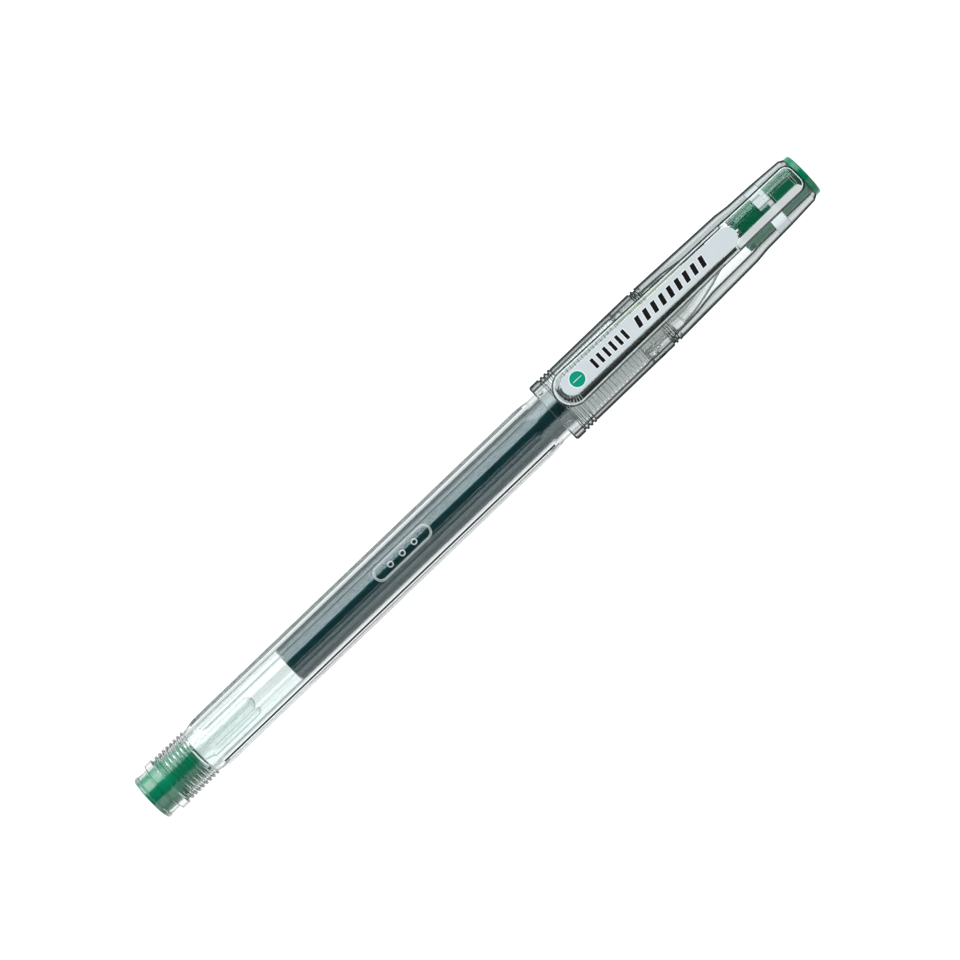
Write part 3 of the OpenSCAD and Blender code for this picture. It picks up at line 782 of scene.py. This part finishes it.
def make_inner_cap():
    start, seal_start = MOUTH + 39.2, TIP_END + 0.15
    r, seal_r, seal_length = CHAMBER_R - FIT, 1.3, 2.2
    pin_r, pin_end = 0.44, MOUTH + 45.9
    floor = seal_start + seal_length + FIT
    outline = [(2.7, start), (CHAMBER_R - 0.25, start), (r, MOUTH + 41), (r, CHAMBER_END - FIT),
               (pin_r, CHAMBER_END - FIT), (pin_r, pin_end), (0, pin_end), (0, floor), (seal_r + FIT, floor),
               (seal_r + FIT, seal_start + 0.3)]
    cup = revolve("inner_cap_body", rounded(outline, 0.06))
    for k in range(12):
        turn = math.radians(30 * k)
        slot = loft("slot", [[Vector((x, y, z)) * MM for x, y in ((-1, -0.55), (1.1, -0.55), (1.1, 0.55), (-1, 0.55))]
                             for z in (1.4, 4.4)])
        slot.data.transform(Matrix.Rotation(turn, 4, "X"))
        slot.data.transform(Matrix.Translation(place(start, 0, 0)))
        combine(cup, slot, "DIFFERENCE")
    attach(cup, green_plastic, "green_plastic", "cap", "inner_cap")
    seal_end = seal_start + seal_length
    outline = rounded([(0, seal_start), (seal_r, seal_start), (seal_r, seal_end), (0, seal_end)], 0.15)
    return attach(revolve("tip_seal_pad", outline), seal_rubber, "seal_rubber", "cap", "tip_seal")


def make_crown_plug():
    body, head = RECESS_R - FIT, 3.77
    start = RECESS_START + FIT
    outline = [(0, RECESS_START + 2), (1.9, RECESS_START + 2), (2.1, start), (body, start), (body, SHELL_END + FIT),
               (head, SHELL_END + FIT), (head, LENGTH - 0.2), (head - 0.2, LENGTH), (0, LENGTH)]
    plug = combine(revolve("crown_plug_body", rounded(outline, 0.1)), make_key("key", 0), "UNION")
    return attach(plug, green_plastic, "green_plastic", "cap", "crown_plug")


# ---------------------------------------------------------------------------
# Clip: drawn by distance from its knuckle, sideways distance and height over its mid-plane
# ---------------------------------------------------------------------------
CLIP_HALF = 3.1
ROOT_HALF = 2.6
ROOT_LENGTH = 6.6
FREE_END = MOUTH + 1.9
CLIP_ANGLE = math.atan2(7.86 - PIVOT_HEIGHT, PIVOT - FREE_END)
CLIP_REACH = (PIVOT - FREE_END) / math.cos(CLIP_ANGLE)
CLIP_TOP = 0.75
STEP = -(PIVOT - (MOUTH + 37.7)) / math.cos(CLIP_ANGLE)
LABEL_END = (MOUTH + 39.3 - PIVOT) / math.cos(CLIP_ANGLE)


def on_clip(u, y, height):
    """A point of the clip: u is 0 at the knuckle and negative towards the free end."""
    c, s = math.cos(CLIP_ANGLE), math.sin(CLIP_ANGLE)
    return place(PIVOT + u * c + height * s, y, PIVOT_HEIGHT - u * s + height * c)


def clip_height(point):
    """Height of a point over the mid-plane of the clip, in mm."""
    along, up = station_of(point.x) - PIVOT, (point.z - AXIS_Z) / MM - PIVOT_HEIGHT
    return along * math.sin(CLIP_ANGLE) + up * math.cos(CLIP_ANGLE)


def clip_half(u):
    if u > 0:
        return ROOT_HALF
    return ROOT_HALF + (CLIP_HALF - ROOT_HALF) * min(1, -u / (CLIP_REACH - CLIP_HALF))


def ease(u, start, end):
    t = min(1, max(0, (u - start) / (end - start)))
    return t * t * (3 - 2 * t)


def clip_outline(inset_at):
    """The clip's plan from its free end to its root, drawn in by inset_at(u)."""
    steps, corner_r, centre = 24, 1.7, -CLIP_REACH + CLIP_HALF
    points = []
    for k in range(steps + 1):
        a = math.pi * k / steps
        r = CLIP_HALF - inset_at(centre)
        points.append((centre - r * math.sin(a), r * math.cos(a)))
    stretch = [centre + (STEP - 0.4 - centre) * k / 30 for k in range(1, 30)]
    stretch += [STEP + 0.1 * k for k in range(-4, 21)]
    stretch += [STEP + 2.2 + (-STEP - 2.2 + ROOT_LENGTH - corner_r) * k / 14 for k in range(15)]
    low = [(u, -(clip_half(u) - inset_at(u))) for u in stretch]
    far = ROOT_LENGTH - corner_r
    corner = []
    for k in range(1, 12):
        a = math.pi / 2 * k / 12
        r = corner_r - inset_at(far)
        corner.append((far + r * math.sin(a), -(ROOT_HALF - corner_r + r * math.cos(a))))
    right = low + corner
    root = ROOT_LENGTH - inset_at(far)
    end = [(root, -(ROOT_HALF - corner_r)), (root, ROOT_HALF - corner_r)]
    left = [(u, -y) for u, y in reversed(right)]
    return points + right + end + left


def make_clip():
    def rear(u):
        return ease(u, STEP, STEP + 0.5)

    def flat_inset(u):
        seat = clip_half(u) - 1.75
        return seat + (1.3 - seat) * ease(u, STEP, STEP + 1.6)

    def loop(inset_at, height_at, shift=0.0):
        return [on_clip(u, y - shift, height_at(u)) for u, y in clip_outline(inset_at)]

    levels = [
        loop(lambda u: 0.05, lambda u: -0.75),
        loop(lambda u: 0.0, lambda u: -0.7),
        loop(lambda u: 0.25 + 0.06 * rear(u), lambda u: -0.06 + 0.3 * rear(u), 0.08),
        loop(lambda u: 0.31 + 0.06 * rear(u), lambda u: 0.3 * rear(u), 0.08),
        loop(lambda u: 0.5, lambda u: 0.01 + 0.31 * rear(u), 0.08),
        loop(lambda u: flat_inset(u) - 0.05, lambda u: CLIP_TOP - 0.03),
        loop(lambda u: flat_inset(u) + 0.03, lambda u: CLIP_TOP),
    ]
    plate = loft("clip_plate", levels)
    pad = revolve("pad", rounded([(0, -1), (1.2, -1), (1.2, 1), (0, 1)], 0.15))
    move_piece(pad, Matrix.Rotation(math.radians(90), 4, "Z"), on_clip(2.6 - CLIP_REACH, 0, -CLIP_TOP))
    combine(plate, pad, "UNION")
    attach(plate, clear_clip, "clear_clip", None, "clip", sharp=20)
    plate.data.materials.append(painted_shade_skin)
    plate.data.materials.append(pale_painted_highlight)
    for face in plate.data.polygons:
        station = station_of(face.center.x)
        outside = abs(face.center.y) > 1.3 * MM or station < FREE_END + 0.6 or station > SHELL_END - 1.4
        # painted shade: the clip's side walls get the near-black skin
        if outside and abs(face.normal.z) < 0.5:
            face.material_index = 1
        # painted highlight: upward faces below the clip's top flat, and the -Y bevel near the root, get the pale skin
        elif face.normal.z > 0.9 and clip_height(face.center) < 0.5:
            face.material_index = 2
        elif station > MOUTH + 38 and face.normal.y < -0.35 and face.normal.z > 0.3:
            face.material_index = 2
    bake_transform(plate)

    # the web under the root reaches just into the skin of the cap
    half, steps = 2.2, 8
    loops = []
    for u in (0.05, 1.5, 3.0, 4.5, 5.7):
        ring = [on_clip(u, half * (2 * k / steps - 1), -CLIP_TOP + FIT) for k in range(steps + 1)]
        for k in range(steps, -1, -1):
            y = half * (2 * k / steps - 1)
            r = outer_radius_at(station_of(on_clip(u, 0, 0).x)) - 0.02
            ring.append(place(station_of(on_clip(u, 0, 0).x), y, math.sqrt(r * r - y * y)))
        loops.append(ring)
    attach(loft("clip_web", loops), clear_cap, "clear_cap", "cap")


def flat_print(name, outline, bottom, top, material, slot):
    """A thin raised shape on the label, from (u, y) points."""
    piece = loft(name, [[on_clip(u, y, h) for u, y in outline] for h in (bottom, top)])
    return attach(piece, material, slot, "clip")


def slanted_bar(start, end, low, high, lean, grow):
    """A bar with leaning ends, grown outwards all round."""
    a, b = low - grow, high + grow
    return [(start - grow - lean, a), (end + grow - lean, a), (end + grow + lean, b), (start - grow + lean, b)]


LABEL_BASE = CLIP_TOP + FIT
LABEL_THICK = 0.1


def clip_place(station):
    """The distance along the clip of a station, from the knuckle."""
    return (station - PIVOT) / math.cos(CLIP_ANGLE)


def make_label():
    half, base, thick = 1.7, LABEL_BASE, LABEL_THICK
    start = -CLIP_REACH + 1.6
    plan = stadium(start, LABEL_END, 0, half, 24)
    inner = stadium(start + 0.03, LABEL_END - 0.03, 0, half - 0.03, 24)
    loops = [[on_clip(u, y, h) for u, y in ring]
             for ring, h in ((plan, base), (plan, base + thick - 0.03), (inner, base + thick))]
    attach(loft("label_plate", loops), label_foil, "label_foil", "clip", "clip_label")


def make_print():
    """A plain disc with a line, upright bars and leaning bars, in the places of the printing."""
    face, half = LABEL_BASE + LABEL_THICK, 0.88
    centre = clip_place(MOUTH + 6.35)
    discs = (("print_ring", 1.42, 0.006, print_white), ("print_dot", 1.24, 0.012, print_green))
    for name, r, lift, material in discs:
        flat_print(name, stadium(centre - r, centre + r, 0.05, r - 0.001, 24), face - 0.005, face + lift, material,
                   "label_foil")
    flat_print("print_line", stadium(centre - 0.85, centre + 0.85, 0.05, 0.05, 6), face, face + 0.016, print_white,
               "label_foil")
    marks = [(MOUTH + 9.6 + 1.28 * k, 0.58, 0.0) for k in range(6)]
    marks += [(MOUTH + 18.7 + 1.66 * k, 0.82, 0.2) for k in range(9)]
    for k, (first, wide, lean) in enumerate(marks):
        start, end = clip_place(first), clip_place(first + wide)
        halo = slanted_bar(start, end, -half, half, lean, 0.14)
        bar = slanted_bar(start, end, -half, half, lean, 0.0)
        flat_print(f"print_halo_{k}", halo, face - 0.005, face + 0.006, print_white, "label_foil")
        flat_print(f"print_bar_{k}", bar, face - 0.005, face + 0.012, print_and_shade_black, "label_foil")


def make_bevel_shade_strips():
    """Painted shade: a dark strip runs along the -Y bevel of the clip and fades in bars round its free end."""
    centre = -CLIP_REACH + CLIP_HALF

    def across_bevel(q, share, lift):
        """A point over the bevel: q runs along it from the start of the curve, and share goes from low to high."""
        wide = CLIP_HALF if q < 0 else clip_half(centre + q)
        out, height = (wide - 0.46) * (1 - share) + 1.82 * share, 0.02 * (1 - share) + 0.66 * share + lift
        if q >= 0:
            return on_clip(centre + q, -out, height)
        turn = -q / CLIP_HALF
        return on_clip(centre - out * math.sin(turn), -out * math.cos(turn), height)

    bars = [(0.0, STEP - 0.1 - centre, 0.0)]
    bars += [(-0.55, -0.12, 0.0), (-1.1, -0.7, 0.04), (-1.7, -1.3, 0.1), (-2.4, -1.9, 0.2), (-3.1, -2.65, 0.3),
             (-3.9, -3.4, 0.36)]
    for k, (first, last, trim) in enumerate(bars):
        steps = 30 if last > 1 else 4
        loops = []
        for j in range(steps + 1):
            q = first + (last - first) * j / steps
            loops.append([across_bevel(q, share, lift) for share, lift in
                          ((trim, -0.06), (trim, 0.035), (1 - trim, 0.035), (1 - trim, -0.06))])
        attach(loft(f"bevel_shade_strip_{k}", loops), bevel_shade, "label_foil", "clip")


make_barrel()
make_emboss()
make_painted_wall_shade()
make_tail_plug()
make_nose_cone()
make_tube()
make_ink()
make_follower()
make_tip()
make_cap_shell()
make_window_highlights()
make_inner_cap()
make_crown_plug()
make_clip()
make_label()
make_print()
make_bevel_shade_strips()


# ---------------------------------------------------------------------------
# Floor, light and camera
# ---------------------------------------------------------------------------
def make_floor():
    """A pale table top, lit a little from within as a light table is."""
    mesh = bpy.data.meshes.new("floor")
    size = 6.0
    mesh.from_pydata([(-size, -size, 0), (size, -size, 0), (size, size, 0), (-size, size, 0)], [], [(0, 1, 2, 3)])
    floor = make_object("floor", mesh)
    material, nodes, links, shader = new_material("floor")
    noise = surface_texture(nodes, links, shader, 40, 0.0, 0.6, 0.8)
    ramp = nodes.new("ShaderNodeValToRGB")
    ramp.color_ramp.elements[0].color = (0.36, 0.36, 0.36, 1)
    ramp.color_ramp.elements[1].color = (0.38, 0.38, 0.38, 1)
    links.new(noise.outputs["Fac"], ramp.inputs["Fac"])
    links.new(ramp.outputs["Color"], shader.inputs["Base Color"])
    shader.inputs["Specular IOR Level"].default_value = 0.1
    facing = nodes.new("ShaderNodeLayerWeight")
    facing.inputs["Blend"].default_value = 0.5
    glow = nodes.new("ShaderNodeValToRGB")
    stops = ((0.0, 0.95), (0.2, 0.85), (0.3, 0.5), (0.65, 0.45), (0.8, 0.15))
    set_stops(glow, grey(stops))
    links.new(facing.outputs["Facing"], glow.inputs["Fac"])
    links.new(glow.outputs["Color"], shader.inputs["Emission Strength"])
    shader.inputs["Emission Color"].default_value = (1, 1, 1, 1)
    floor.data.materials.append(material)
    floor.location.z = -0.00002


def make_world():
    """A studio seen from the pen: a long bright softbox on the +Y side, a weak fill on the -Y side, dark overhead
    and dark low down on the -Y side. The stops are degrees from straight up, towards +Y, and brightness."""
    world = bpy.data.worlds.new("studio")
    world.use_nodes = True
    nodes, links = world.node_tree.nodes, world.node_tree.links
    coords = nodes.new("ShaderNodeTexCoord")
    split = nodes.new("ShaderNodeSeparateXYZ")
    angle = nodes.new("ShaderNodeMath")
    angle.operation = "ARCTAN2"
    turn = nodes.new("ShaderNodeMapRange")
    turn.inputs["From Min"].default_value = -math.pi / 2
    turn.inputs["From Max"].default_value = math.pi / 2
    ramp = nodes.new("ShaderNodeValToRGB")
    strength = 4.0
    stops = ((-90, 0.3), (-82, 1.0), (-66, 1.1), (-42, 1.2), (-35, 0.03), (20, 0.02), (29, 3.1), (68, 3.4),
             (78, 1.2), (90, 0.8))
    set_stops(ramp, [((degrees + 90) / 180, (0.93 * bright / strength, 0.98 * bright / strength, bright / strength))
                     for degrees, bright in stops])
    along = nodes.new("ShaderNodeMath")
    along.operation = "ABSOLUTE"
    fade = nodes.new("ShaderNodeMapRange")
    fade.interpolation_type = "SMOOTHSTEP"
    fade.inputs["From Min"].default_value = 0.6
    fade.inputs["From Max"].default_value = 0.95
    mix = nodes.new("ShaderNodeMix")
    mix.data_type = "RGBA"
    mix.inputs["B"].default_value = (0.08, 0.083, 0.086, 1)
    links.new(coords.outputs["Generated"], split.inputs["Vector"])
    links.new(split.outputs["Y"], angle.inputs[0])
    links.new(split.outputs["Z"], angle.inputs[1])
    links.new(angle.outputs["Value"], turn.inputs["Value"])
    links.new(turn.outputs["Result"], ramp.inputs["Fac"])
    links.new(split.outputs["X"], along.inputs[0])
    links.new(along.outputs["Value"], fade.inputs["Value"])
    links.new(fade.outputs["Result"], mix.inputs["Factor"])
    links.new(ramp.outputs["Color"], mix.inputs["A"])
    links.new(mix.outputs["Result"], nodes["Background"].inputs["Color"])
    nodes["Background"].inputs["Strength"].default_value = strength
    bpy.context.scene.world = world


def make_camera():
    """Looks down on the pen from a little to the clip's -Y side, with the crown up and to the right."""
    data = bpy.data.cameras.new("camera")
    camera = bpy.data.objects.new("camera", data)
    bpy.context.scene.collection.objects.link(camera)
    distance, lean, foot, aim = 0.69, math.radians(8.4), 88.0, 70.6
    back = Vector((0, -math.sin(lean), math.cos(lean)))
    side = Vector((0, math.cos(lean), math.sin(lean)))
    eye = place(foot, 0, 0) + back * distance
    target = place(aim, 0, 0) + side * 0.46 * MM
    look = (target - eye).normalized()
    along = Vector((1, 0, 0)) - look * look.x
    along.normalize()
    across = look.cross(along)
    roll = math.radians(43.79)
    right = along * math.cos(roll) + across * math.sin(roll)
    up = right.cross(look)
    camera.matrix_world = Matrix.Translation(eye) @ Matrix((right, up, -look)).transposed().to_4x4()
    data.sensor_width = 36.0
    data.lens = 36.0 * (target - eye).length / 0.1477
    data.clip_start = 0.01
    bpy.context.scene.camera = camera


make_floor()
make_world()
make_camera()

scene = bpy.context.scene
scene.view_settings.view_transform = "Standard"
scene.cycles.max_bounces = 40
scene.cycles.transmission_bounces = 36
scene.cycles.transparent_max_bounces = 32
scene.cycles.glossy_bounces = 8
scene.cycles.diffuse_bounces = 3
